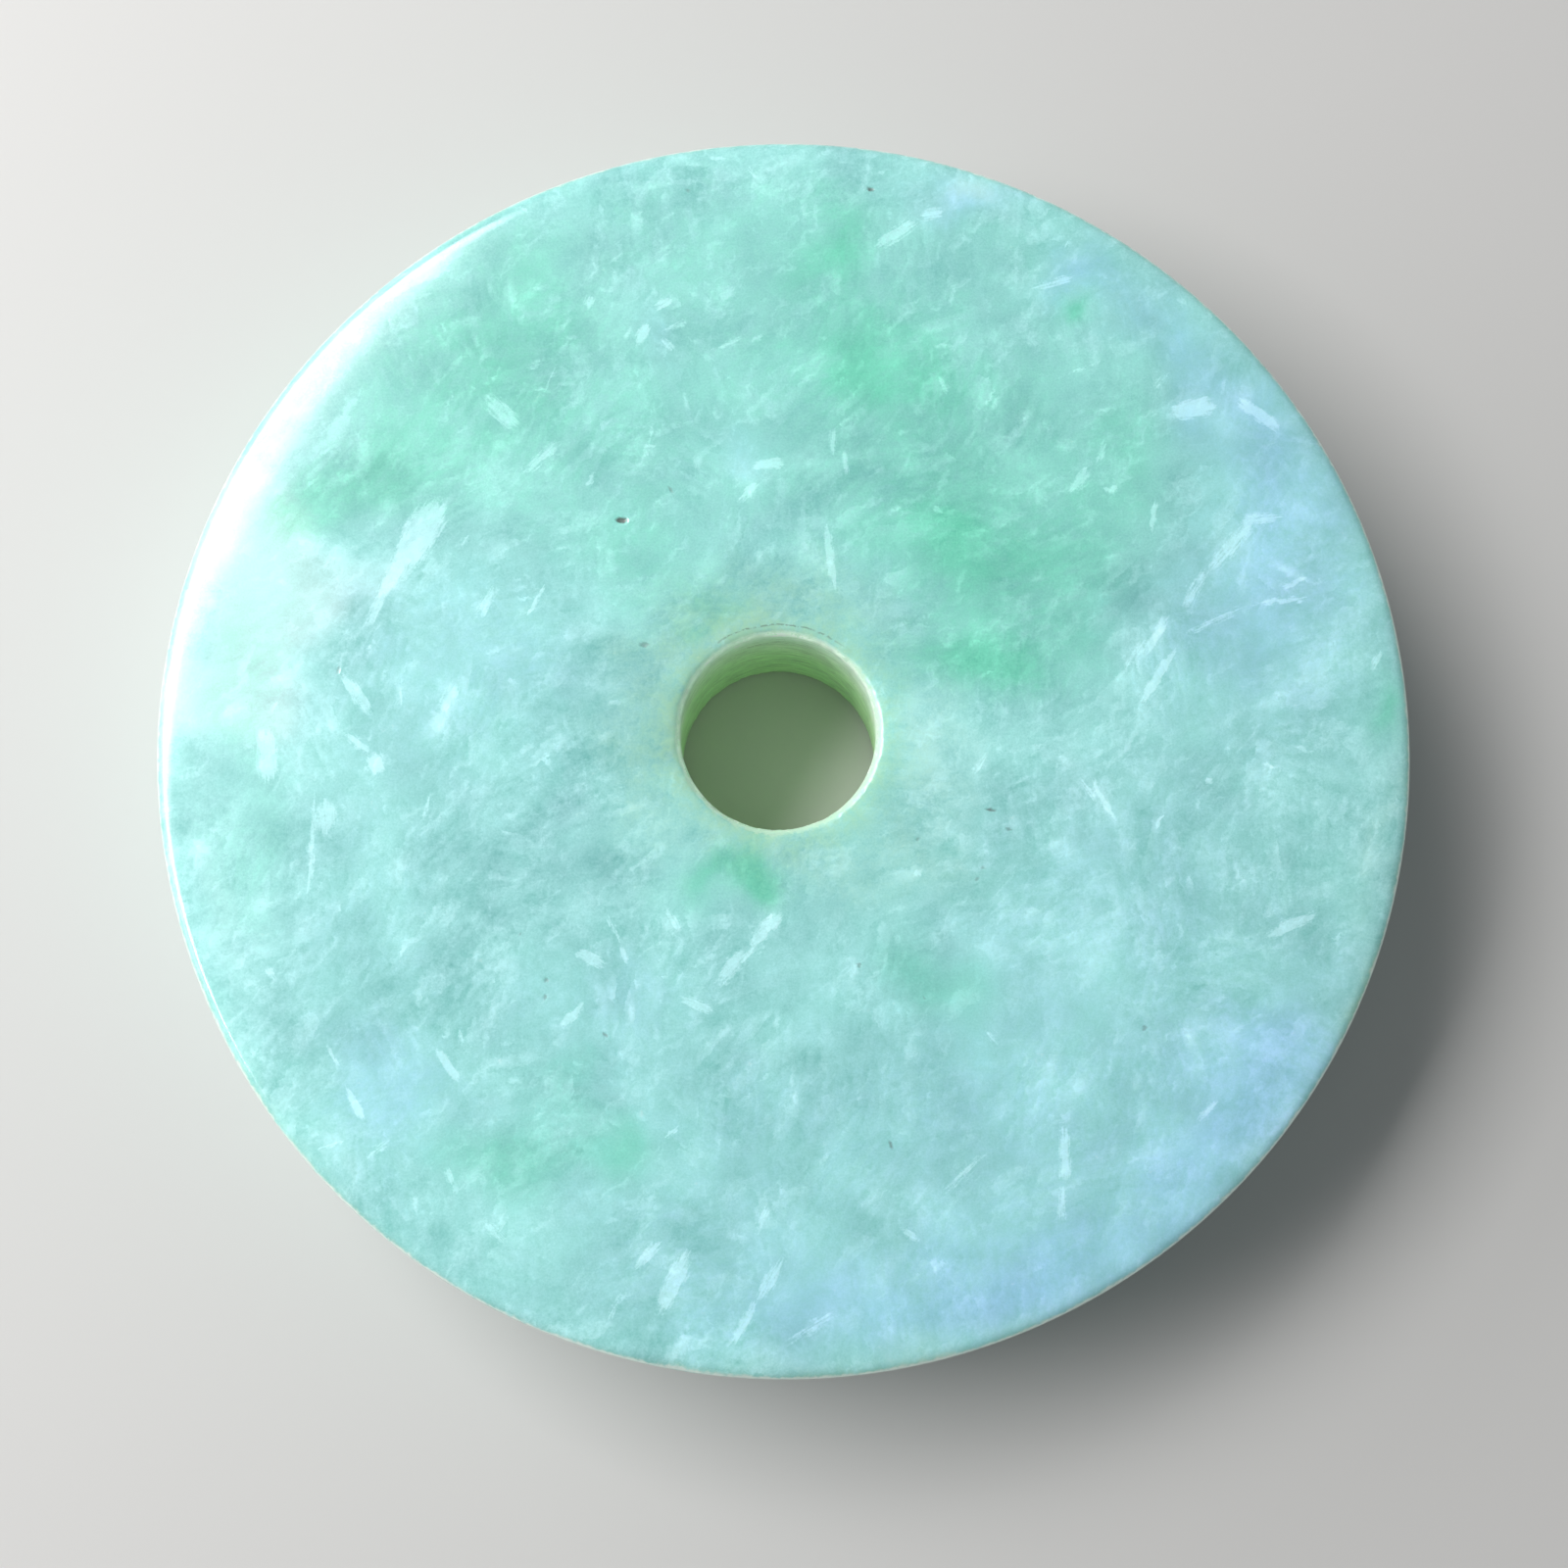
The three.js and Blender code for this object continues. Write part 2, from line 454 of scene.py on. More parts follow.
CLEAR_CLOUDS = [
    (-9.8, -15.0, 1.6, 1.6, 0, 0.55),
    (-8.5, -15.9, 1.1, 0.7, 20, 0.80),
    (-8.8, -3.4, 2.0, 2.0, 0, 0.45),
    (19.3, 10.8, 1.5, 1.5, 0, 0.55),
    (15.4, 7.0, 2.6, 1.2, 0, 0.50),
    (13.0, -5.2, 1.2, 1.2, 0, 0.45),
    (-11.5, 1.0, 1.0, 1.0, 0, 0.45),
    (17.5, 20.2, 1.3, 1.0, 0, 0.60),
    (21.8, 16.3, 1.4, 1.0, 60, 0.50),
    (22.7, -13.7, 1.5, 1.2, 70, 0.45),
    (20.8, -18.3, 2.6, 1.3, 48, 0.60),
    (8.0, -25.8, 3.4, 1.4, 10, 0.65),
    (15.5, -21.0, 1.4, 1.2, 0, 0.40),
    (-14.5, -7.5, 5.5, 6.5, 0, 0.40),
    (-12.2, -3.8, 2.4, 1.8, 10, 0.45),
    (-17.0, -9.2, 2.0, 1.6, 0, 0.40),
    (-18.5, -14.8, 2.0, 1.6, 0, 0.35),
    (-7.6, -12.3, 1.4, 1.2, 0, 0.40),
    (-7.0, -0.8, 2.0, 4.5, 0, 1.10),
    (-0.5, -6.0, 4.0, 1.4, 0, 0.60),
    (-1.0, 7.0, 4.0, 1.8, 0, 0.60),
    (-22.5, 2.2, 1.8, 1.1, -30, 0.40),
    (14.3, 6.0, 2.6, 2.4, 0, 0.35),
    (20.0, 10.5, 2.0, 2.0, 0, 0.35),
    (-23.0, 2.7, 1.2, 1.0, 0, 0.45),
    (-17.2, 5.8, 1.2, 0.8, 60, 0.25),
    (-10.5, -18.6, 2.4, 1.8, 0, 0.30),
    (-4.0, -21.5, 1.6, 0.9, 90, 0.40),
    (-4.2, 5.5, 2.6, 1.2, 30, 0.60),
    (-1.0, 5.8, 3.0, 0.9, 0, 0.50),
    (-5.6, 2.0, 0.9, 3.5, 0, 0.40),
    (-11.0, 11.0, 1.6, 1.5, 0, 0.35),
    (9.2, -9.2, 1.8, 1.3, 0, 0.35),
    (2.5, 25.5, 1.8, 0.7, 90, 0.35),
    (6.9, -11.0, 1.4, 1.2, 90, 0.50),
    (-3.0, 22.5, 3.0, 1.5, 0, 0.25),
    (1.5, -17.0, 3.0, 2.5, 0, 0.25),
    (2.0, -12.8, 3.5, 3.0, 0, 0.35),
]

STAIN_CLOUDS = [
    (7.0, -2.0, 2.6, 4.5, 0, 0.20),
    (3.5, -7.0, 4.5, 2.0, 0, 0.20),
    (-6.6, -1.0, 2.0, 5.0, 0, 0.26),
    (-3.0, 5.8, 4.5, 1.4, 25, 0.26),
    (3.0, 6.2, 2.5, 1.4, -20, 0.20),
    (27.0, -6.0, 5.0, 1.0, 78, 0.22),
    (25.9, -13.2, 1.4, 0.8, 63, 0.32),
    (4.0, -27.8, 9.0, 0.9, 8, 0.20),
    (-22.5, -17.0, 7.0, 1.5, -52, 0.14),
]

# Each blade of crystal: x, y, length, width, turn in degrees, strength.

BLADES = [
    (-18.7, 6.2, 3.0, 0.40, 66, 0.75),
    (-16.9, 9.4, 3.8, 1.25, 60, 1.20),
    (-18.1, 7.4, 2.6, 0.60, 62, 1.00),
    (-19.6, 1.9, 2.6, 0.45, 124, 0.80),
    (-15.4, 1.7, 1.7, 0.45, 65, 0.80),
    (-13.7, 6.2, 1.9, 0.50, 62, 0.55),
    (-14.9, 9.0, 1.0, 0.25, 55, 0.60),
    (-11.4, 6.3, 2.0, 0.18, 63, 0.75),
    (-13.1, 15.3, 2.2, 0.80, -45, 0.80),
    (-11.2, 13.1, 2.3, 0.55, 45, 0.60),
    (-8.9, 12.0, 0.9, 0.20, 65, 0.85),
    (-6.5, 19.1, 1.3, 0.40, 65, 0.90),
    (-5.3, 18.6, 1.0, 0.30, -45, 0.60),
    (-4.9, 19.5, 1.4, 0.25, 25, 0.70),
    (-2.4, 18.6, 1.3, 0.35, 25, 0.60),
    (-5.5, 20.6, 1.1, 0.40, 30, 0.65),
    (-9.0, 20.7, 0.8, 0.50, 70, 0.60),
    (-11.6, 17.6, 1.0, 0.25, 20, 0.60),
    (-10.9, 16.8, 2.3, 0.20, 68, 0.45),
    (-0.6, 12.7, 1.6, 0.45, 5, 1.00),
    (-1.6, 11.3, 1.4, 0.30, 45, 0.75),
    (-1.2, 27.2, 0.8, 0.25, -55, 0.60),
    (-6.3, 13.6, 3.0, 0.22, 75, 0.45),
    (-17.6, 2.0, 1.8, 0.25, 95, 0.45),
    (2.25, 8.2, 3.3, 0.35, 96, 0.95),
    (2.4, 13.8, 1.4, 0.30, 85, 0.70),
    (3.0, 12.7, 1.5, 0.30, 92, 0.65),
    (19.4, 15.2, 2.2, 0.70, 5, 1.05),
    (19.6, 15.5, 1.4, 0.40, 20, 0.80),
    (22.5, 14.9, 2.6, 0.50, -38, 0.95),
    (14.0, 11.8, 1.6, 0.55, 50, 0.75),
    (15.0, 13.1, 1.6, 0.30, 66, 0.75),
    (15.4, 11.3, 0.9, 0.25, -10, 0.95),
    (17.35, 10.0, 1.7, 0.25, 80, 0.85),
    (7.3, 10.4, 0.5, 0.22, -40, 0.95),
    (14.4, 17.3, 3.2, 0.16, 22, 0.50),
    (21.0, 8.7, 4.0, 0.55, 50, 0.70),
    (19.2, 6.6, 2.4, 0.60, 60, 0.55),
    (22.4, 9.9, 2.0, 0.45, 5, 0.65),
    (17.3, 4.4, 2.3, 0.32, 60, 1.00),
    (17.2, 2.3, 3.2, 0.38, 56, 1.00),
    (16.4, 3.4, 3.0, 0.80, 58, 0.35),
    (23.1, 5.9, 2.8, 0.22, 7, 0.85),
    (23.8, 6.8, 1.4, 0.25, 25, 0.75),
    (20.0, 5.0, 3.2, 0.35, 24, 0.60),
    (27.4, 3.1, 1.2, 0.25, 62, 0.70),
    (5.6, 24.0, 2.6, 0.60, 35, 0.75),
    (7.3, 25.0, 1.2, 0.55, 10, 0.80),
    (13.0, 21.5, 2.2, 0.40, 14, 0.60),
    (13.8, 23.4, 0.8, 0.20, 60, 0.60),
    (18.0, 16.6, 1.3, 0.45, 50, 0.45),
    (7.7, 16.5, 1.0, 0.40, 105, 0.45),
    (-23.7, -0.9, 2.6, 0.75, 95, 0.85),
    (-18.7, -1.3, 1.0, 0.60, 120, 1.00),
    (-19.5, -0.4, 1.8, 0.35, -38, 0.70),
    (-20.9, -3.8, 1.7, 0.75, 92, 0.85),
    (-21.5, -5.0, 5.2, 0.25, 88, 0.70),
    (-16.3, -3.4, 1.2, 0.20, 80, 0.65),
    (-23.2, -10.9, 0.9, 0.28, -60, 0.65),
    (-20.3, -14.6, 1.3, 0.20, -60, 0.85),
    (-19.3, -16.7, 1.7, 0.30, -62, 0.85),
    (-15.2, -15.0, 1.8, 0.32, -54, 1.00),
    (-14.6, -13.8, 0.6, 0.25, -60, 0.70),
    (-9.6, -12.9, 1.5, 0.35, 45, 0.90),
    (-8.8, -10.3, 1.5, 0.45, -25, 0.90),
    (-7.8, -8.9, 1.6, 0.16, -65, 0.70),
    (-7.3, -10.2, 0.9, 0.25, -75, 0.60),
    (-5.1, -8.6, 1.4, 0.35, -60, 0.55),
    (-2.4, -10.7, 2.6, 0.60, 48, 0.70),
    (-0.9, -9.1, 2.2, 0.55, 46, 0.90),
    (-4.1, -12.4, 1.9, 0.45, -25, 0.70),
    (-5.2, -18.1, 0.9, 0.16, 40, 0.90),
    (-20.3, -18.5, 1.5, 0.22, 20, 0.60),
    (-18.2, -18.7, 1.6, 0.30, 35, 0.50),
    (-15.0, -19.9, 0.9, 0.35, -70, 0.60),
    (-5.1, -24.6, 3.2, 0.60, 63, 0.92),
    (-6.2, -23.4, 1.8, 0.35, 47, 0.80),
    (-7.6, -25.6, 2.2, 0.28, 62, 0.50),
    (-2.0, -26.4, 2.4, 0.38, 58, 0.80),
    (-0.8, -24.5, 2.4, 0.45, 60, 0.70),
    (-12.9, -22.4, 1.4, 0.40, -45, 0.65),
    (-1.2, -22.0, 1.7, 0.30, 65, 0.50),
    (9.0, -1.6, 1.5, 0.28, 55, 0.60),
    (14.6, -3.4, 2.4, 0.26, -65, 0.90),
    (13.9, -2.9, 1.5, 0.22, -55, 0.60),
    (22.9, -9.1, 2.8, 0.40, 24, 0.95),
    (12.3, -19.2, 2.6, 0.40, 88, 0.85),
    (12.1, -21.4, 1.8, 0.35, 84, 0.70),
    (18.7, -17.4, 1.3, 0.32, 42, 0.65),
    (9.3, -14.0, 0.9, 0.35, -50, 0.50),
    (7.6, -20.2, 3.6, 0.45, 42, 0.45),
    (5.4, -22.6, 0.9, 0.35, -30, 0.70),
    (1.0, -26.6, 2.8, 0.50, 32, 0.50),
    (17.1, -4.3, 0.7, 0.18, 50, 0.75),
    (19.4, -2.5, 0.5, 0.30, 10, 0.70),
]

# Each dark mark: x, y, length, width, turn in degrees, darkness, depth.

MARKS = [
    (-7.46, 10.06, 0.58, 0.30, 4, 1.0, 0.10),
    (4.38, 26.3, 0.26, 0.22, 0, 0.95, 0.08),
    (-6.4, 4.1, 0.50, 0.26, 10, 0.45, 0.02),
    (-5.2, 11.5, 0.36, 0.12, -50, 0.40, 0.02),
    (-20.5, 3.1, 0.34, 0.12, 75, 0.45, 0.03),
    (-4.35, 26.3, 0.16, 0.14, 0, 0.45, 0.03),
    (-10.8, -11.3, 0.20, 0.17, 0, 0.60, 0.04),
    (-10.85, -12.05, 0.17, 0.15, 0, 0.60, 0.04),
    (-8.15, -13.75, 0.24, 0.17, -50, 0.65, 0.04),
    (-12.0, -9.2, 0.14, 0.14, 0, 0.40, 0.02),
    (4.6, -18.75, 0.44, 0.13, -68, 0.75, 0.04),
    (9.4, -3.75, 0.50, 0.13, -10, 0.80, 0.04),
    (10.2, -4.65, 0.34, 0.12, -25, 0.55, 0.03),
    (6.05, -5.05, 0.22, 0.14, 60, 0.45, 0.03),
    (8.7, -6.9, 0.22, 0.15, 30, 0.50, 0.03),
    (9.0, -6.4, 0.18, 0.14, 0, 0.45, 0.03),
    (3.3, -10.75, 0.24, 0.17, 60, 0.60, 0.04),
    (16.05, -13.7, 0.24, 0.18, 80, 0.60, 0.04),
    (6.2, -12.2, 0.16, 0.13, 0, 0.45, 0.03),
]


def turned_offsets(x, y, centre_x, centre_y, turn):
    """How far points lie from a centre, along a turned direction and across it."""
    angle = math.radians(turn)
    dx = x - centre_x
    dy = y - centre_y
    along = dx * math.cos(angle) + dy * math.sin(angle)
    across = dy * math.cos(angle) - dx * math.sin(angle)
    return along, across


def step(low, high, value):
    """0 below low and 1 above high, with a smooth step between."""
    share = np.clip((value - low) / (high - low), 0, 1)
    return share * share * (3 - 2 * share)


def swirl(points, size, amount, seed, octaves=2):
    """Soft noise with three parts for each point, sizes in the points' own unit."""
    offset = Vector((seed, seed * 0.37, -seed * 0.71))
    moved = [
        noise.turbulence_vector(Vector(p) / size + offset, octaves, False, noise_basis="PERLIN_ORIGINAL")
        for p in points
    ]
    return np.array(moved) * amount


# The stone goes on below the upper face: its clouds lean sideways with depth, and change as they go.
DEPTH_LEAN = (0.55, -0.35)
DEPTH_CHANGE = 0.35


def cloud_cover(points, clouds, seed):
    """How strongly clouds show at each point, for points in millimetres."""
    depth = STONE_HIGH.z / MM - points[:, 2]
    warp = swirl(points, 3.0, 1.3, seed)
    far = swirl(points, 9.0, 1.0, seed + 5, 1)
    x = points[:, 0] + depth * DEPTH_LEAN[0] + warp[:, 0] + far[:, 0] * depth * DEPTH_CHANGE
    y = points[:, 1] + depth * DEPTH_LEAN[1] + warp[:, 1] + far[:, 1] * depth * DEPTH_CHANGE
    cover = np.zeros(len(points))
    for centre_x, centre_y, half_length, half_width, turn, strength in clouds:
        along, across = turned_offsets(x, y, centre_x, centre_y, turn)
        spread = (along / half_length) ** 2 + (across / half_width) ** 2
        cover += strength * np.exp(-0.8 * spread)
    return cover


def blade_cover(points):
    """How white the large blades of crystal make each point of the upper face, and which way they lie."""
    on_top = points[:, 2] > STONE_HIGH.z / MM - 0.3
    ragged = swirl(points, 0.35, 0.12, 3.0)
    x = points[:, 0] + ragged[:, 0]
    y = points[:, 1] + ragged[:, 1]
    cover = np.zeros(len(points))
    lie = np.zeros(len(points))
    nearest = np.full(len(points), np.inf)
    for centre_x, centre_y, length, width, turn, strength in BLADES:
        along, across = turned_offsets(x, y, centre_x, centre_y, turn)
        far = np.hypot(np.maximum(np.abs(along) - 0.4 * length, 0), across)
        closer = far < nearest
        nearest = np.where(closer, far, nearest)
        lie = np.where(closer, math.radians(turn), lie)
        ends = 1 - step(0.20, 0.66, np.abs(along) / length)
        taper = np.sqrt(np.clip(1 - (along / (0.62 * length)) ** 2, 0.05, 1))
        sides = 1 - step(0.05, 1.05, np.abs(across) / (width * taper))
        cover = np.maximum(cover, strength * ends * sides)
    return cover * on_top, lie


def mark_cover(points):
    """How dark the pits and specks make each point, and how deep they are."""
    on_top = points[:, 2] > STONE_HIGH.z / MM - 0.3
    ragged = swirl(points, 0.2, 0.05, 11.0)
    x = points[:, 0] + ragged[:, 0]
    y = points[:, 1] + ragged[:, 1]
    dark = np.zeros(len(points))
    deep = np.zeros(len(points))
    for centre_x, centre_y, length, width, turn, darkness, depth in MARKS:
        along, across = turned_offsets(x, y, centre_x, centre_y, turn)
        spread = np.sqrt((2 * along / length) ** 2 + (2 * across / width) ** 2)
        shape = 1 - step(0.7, 1.15, spread)
        dark = np.maximum(dark, darkness * shape)
        deep = np.maximum(deep, depth * shape)
    return dark * on_top, deep * on_top


# Finer faces where small things are


REFINE_ROUNDS = 2
REFINE_MARGIN = 0.35


def near_small_things(x, y, margin):
    """Which points of the upper face lie on or near a blade or a mark."""
    near = np.zeros(len(x), bool)
    for centre_x, centre_y, length, width, turn, *_ in BLADES + MARKS:
        along, across = turned_offsets(x, y, centre_x, centre_y, turn)
        near |= (np.abs(along) < 0.5 * length + margin) & (np.abs(across) < 0.5 * width + margin)
    return near


def refine(bm):
    """Splits the faces under blades and marks into finer ones."""
    for round_left in range(REFINE_ROUNDS, 0, -1):
        faces = [f for f in bm.faces if f.calc_center_median().z > STONE_HIGH.z - 0.3 * MM]
        centres = np.array([f.calc_center_median() for f in faces]) / MM
        near = near_small_things(centres[:, 0], centres[:, 1], REFINE_MARGIN * round_left)
        chosen = [f for f, wanted in zip(faces, near) if wanted and len(f.verts) == 4]
        edges = list({e for f in chosen for e in f.edges})
        bmesh.ops.subdivide_edges(bm, edges=edges, cuts=1, use_grid_fill=True)
    many_sided = [f for f in bm.faces if len(f.verts) > 4]
    bmesh.ops.triangulate(bm, faces=many_sided)


# Chips along the edges of the rim: angle in degrees, 1 for the upper edge and -1 for the lower one, width, depth.

CHIPS = [
    (-100.4, 1, 0.9, 0.16),
    (-97.5, 1, 0.5, 0.10),
    (36.9, 1, 0.6, 0.10),
    (12.0, 1, 0.5, 0.09),
    (-62.0, 1, 0.4, 0.08),
    (148.0, -1, 0.8, 0.14),
    (75.0, -1, 0.6, 0.12),
    (-30.0, -1, 0.9, 0.15),
    (-150.0, -1, 0.5, 0.10),
    (-128.0, 1, 0.4, 0.07),
]


def wear(points, sizes):
    """Points moved inwards by turning lines, a rough lip and chips, in millimetres. The pits are sunk afterwards, in
    finish_disc.
    """
    hole_x = sizes.hole_shift / MM
    top = STONE_HIGH.z / MM
    radius = np.hypot(points[:, 0], points[:, 1])
    hole_radius = np.hypot(points[:, 0] - hole_x, points[:, 1])
    height = points[:, 2]
    bore = np.interp(height, [0, top], [sizes.hole_bottom / MM / 2, sizes.hole_top / MM / 2])
    lip = sizes.lip_radius / MM
    moved = points.copy()
    # The wall of the hole keeps fine lines from the drill.
    inside = 1 - step(bore + 0.05, bore + 0.3, hole_radius)
    lines = np.sin(height * 14 + 2.2 * np.sin(height * 3.1)) * 0.5 + np.sin(height * 31 + 1.3) * 0.3
    out = np.stack([points[:, 0] - hole_x, points[:, 1]], 1) / np.maximum(hole_radius, 1e-6)[:, None]
    moved[:, :2] += out * (inside * (0.012 + 0.012 * lines))[:, None]
    # Both lips of the hole are rough.
    from_lip = np.hypot(hole_radius - bore, np.minimum(height, top - height))
    lip_share = 1 - step(lip * 0.8, lip * 1.9, from_lip)
    chosen = np.nonzero(lip_share > 0)[0]
    grains = np.abs(swirl(points[chosen], 0.22, 0.05, 21.0))
    larger = np.abs(swirl(points[chosen], 0.9, 0.05, 23.0))
    push = (grains[:, 0] + larger[:, 1]) * lip_share[chosen]
    moved[chosen, :2] += out[chosen] * push[:, None]
    inward = np.where(points[chosen, 2] > top / 2, -1.0, 1.0)
    moved[chosen, 2] += inward * (grains[:, 2] + larger[:, 0]) * lip_share[chosen] * 0.8
    # The rim isn't quite round.
    rim_share = step(27.0, 28.5, radius)
    angle = np.arctan2(points[:, 1], points[:, 0])
    wave = 0.5 + 0.25 * np.sin(angle * 3 + 0.8) + 0.25 * np.sin(angle * 7 + 2.0)
    outwards = points[:, :2] / np.maximum(radius, 1e-6)[:, None]
    moved[:, :2] -= outwards * (0.03 * rim_share * wave)[:, None]
    # Small chips in the edges.
    edge_r = sizes.diameter / MM / 2 - 0.25
    for degrees, side, width, depth in CHIPS:
        turn = math.radians(degrees)
        centre = np.array([edge_r * math.cos(turn), edge_r * math.sin(turn), top if side > 0 else 0.0])
        share = 1 - step(0.25, 1.0, np.linalg.norm(points - centre, axis=1) / (width * 0.7))
        moved[:, :2] -= outwards * (depth * share)[:, None]
        moved[:, 2] -= side * depth * share * 0.8
    return moved


def edge_masks(points, sizes):
    """Where the stone is cream coloured, its lips, the painted highlight along the edges of its rim, the wall of the
    hole, what is rough.
    """
    hole_x = sizes.hole_shift / MM
    top = STONE_HIGH.z / MM
    radius = np.hypot(points[:, 0], points[:, 1])
    hole_radius = np.hypot(points[:, 0] - hole_x, points[:, 1])
    height = points[:, 2]
    rim = sizes.diameter / MM / 2
    bore = np.interp(height, [0, top], [sizes.hole_bottom / MM / 2, sizes.hole_top / MM / 2])
    from_face = np.minimum(height, top - height)
    arris = np.exp(-((np.hypot(radius - rim + 0.3, from_face - 0.3) / 0.42) ** 2))
    rim_side = step(rim - 0.5, rim - 0.1, radius)
    lip = np.exp(-((np.hypot(hole_radius - bore - 0.08, from_face - 0.12) / 0.26) ** 2))
    turn = np.arctan2(points[:, 1], points[:, 0] - hole_x)
    lip *= 0.62 + 0.38 * np.cos(turn + 0.8)
    # A painted highlight: a pale line along the edges of the rim.
    worn = np.exp(-((np.hypot(radius - rim + 0.22, from_face - 0.42) / 0.22) ** 2))
    wall = 1 - step(bore + 0.02, bore + 0.25, hole_radius)
    near = np.exp(-(((hole_radius - bore) / 1.2) ** 2)) * 0.42
    far = np.exp(-(((hole_radius - bore) / 3.2) ** 2)) * 0.16
    stain = cloud_cover(points, STAIN_CLOUDS, 6.0)
    cream = np.clip(arris * 0.15 + rim_side * 0.3 + near + far + stain, 0, 1)
    rough = np.clip(lip * 0.8 + wall * 0.9 + rim_side * 0.25, 0, 1)
    return cream, lip, worn, wall, rough


def paint(mesh, name, values):
    """Keeps a value for each point of a mesh, for its material."""
    attribute = mesh.attributes.new(name, "FLOAT", "POINT")
    attribute.data.foreach_set("value", values.astype(np.float32))


def finish_disc(disc, sizes):
    """Adds the small shapes to the turned disc, and what its material reads."""
    mesh = disc.data
    bm = bmesh.new()
    bm.from_mesh(mesh)
    bmesh.ops.remove_doubles(bm, verts=bm.verts, dist=WELD_DISTANCE)
    refine(bm)
    bmesh.ops.recalc_face_normals(bm, faces=bm.faces)
    bm.to_mesh(mesh)
    bm.free()
    coordinates = np.empty(len(mesh.vertices) * 3)
    mesh.vertices.foreach_get("co", coordinates)
    points = coordinates.reshape(-1, 3) / MM
    dark, deep = mark_cover(points)
    blade, lie = blade_cover(points)
    cream, lip, worn, wall, rough = edge_masks(points, sizes)
    paint(mesh, "green", cloud_cover(points, GREEN_CLOUDS, 1.0))
    paint(mesh, "lilac", cloud_cover(points, LILAC_CLOUDS, 2.0))
    paint(mesh, "milk", cloud_cover(points, MILK_CLOUDS, 3.0))
    paint(mesh, "clear", cloud_cover(points, CLEAR_CLOUDS, 4.0))
    paint(mesh, "blade", blade)
    paint(mesh, "lie", lie)
    paint(mesh, "dark", dark)
    paint(mesh, "cream", cream)
    paint(mesh, "lip", lip)
    # A painted highlight along the edges of the rim.
    paint(mesh, "worn", worn)
    paint(mesh, "wall", wall)
    paint(mesh, "rough", rough)
    moved = wear(points, sizes)
    moved[:, 2] -= deep
    mesh.vertices.foreach_set("co", (moved * MM).ravel())
    mesh.shade_smooth()
    mesh.update()


# The jade


# How much red, green and blue change with the tone of the stone, from deep and clear to pale and milky.
TONE_COLOUR = (0.80, 0.43, 0.51)
# How much they lose where the stone is clear and deep.
DEEP_COLOUR = (0.18, 0.165, 0.145)
# How much more they gain in the whitest clouds: partly whiter stone and partly painted glare, since these clouds are
# strongest along the left edge, where the window light's reflection falls.
WHITE_AND_GLARE_COLOUR = (0.22, 0.02, 0.0)
# Small broken grains at the lips of the hole.
LIP_COLOUR = (0.46, 0.72, 0.54, 1.0)
# A painted highlight: a pale line along the edges of the rim, pale enough to show bright also where the edge faces away
# from the lights.
EDGE_HIGHLIGHT_COLOUR = (0.80, 0.88, 0.82, 1.0)
# Painted light: the upper part of the wall of the hole is painted paler, for the light that shines through the stone
# there.
WALL_TOP_PAINTED_LIGHT = (0.84, 0.98, 0.84, 1.0)


def bundles(net, mm, size, main, spread, seed):
    """Places within bundles of crystal. Each bundle lies in a direction of its own, near a main one."""
    moved = net.vector("ADD", mm, (seed, seed * 1.7, seed * 0.6))
    cell = net.add("ShaderNodeTexVoronoi", {}, {"Vector": moved, "Scale": 1 / size})
    chance = net.sibling(cell, "Color")
    red = net.add("ShaderNodeSeparateColor", {}, {"Color": chance})
    turn = main + (red - 0.5) * spread
    tilt = (net.sibling(red, "Green") - 0.5) * 0.8
    local = net.vector("SUBTRACT", moved, net.sibling(cell, "Position"))
    turned = net.add("ShaderNodeVectorRotate", {"rotation_type": "Z_AXIS"}, {"Vector": local, "Angle": 0 - turn})
    tilted = net.add("ShaderNodeVectorRotate", {"rotation_type": "Y_AXIS"}, {"Vector": turned, "Angle": tilt})
    apart = net.vector("ADD", tilted, net.vector("SCALE", chance, scale=400.0))
    inside = 1 - net.rise(cell, 0.35, 0.80)
    return apart, inside


def crystals(net, lying, length, width):
    """Crystals side by side: a random tone for each, and how far each place is from the crystal's middle."""
    shaped = net.vector("MULTIPLY", lying, (1 / length, 1 / width, 1 / width))
    cell = net.add("ShaderNodeTexVoronoi", {}, {"Vector": shaped, "Scale": 1.0})
    tone = net.add("ShaderNodeSeparateColor", {}, {"Color": net.sibling(cell, "Color")})
    return tone, cell


def streaks(net, lying, length, width, detail=3.0, roughness=0.6):
    """Soft noise drawn out in one direction."""
    shaped = net.vector("MULTIPLY", lying, (1 / length, 1 / width, 1 / width))
    return net.noise(shaped, 1.0, detail, roughness)


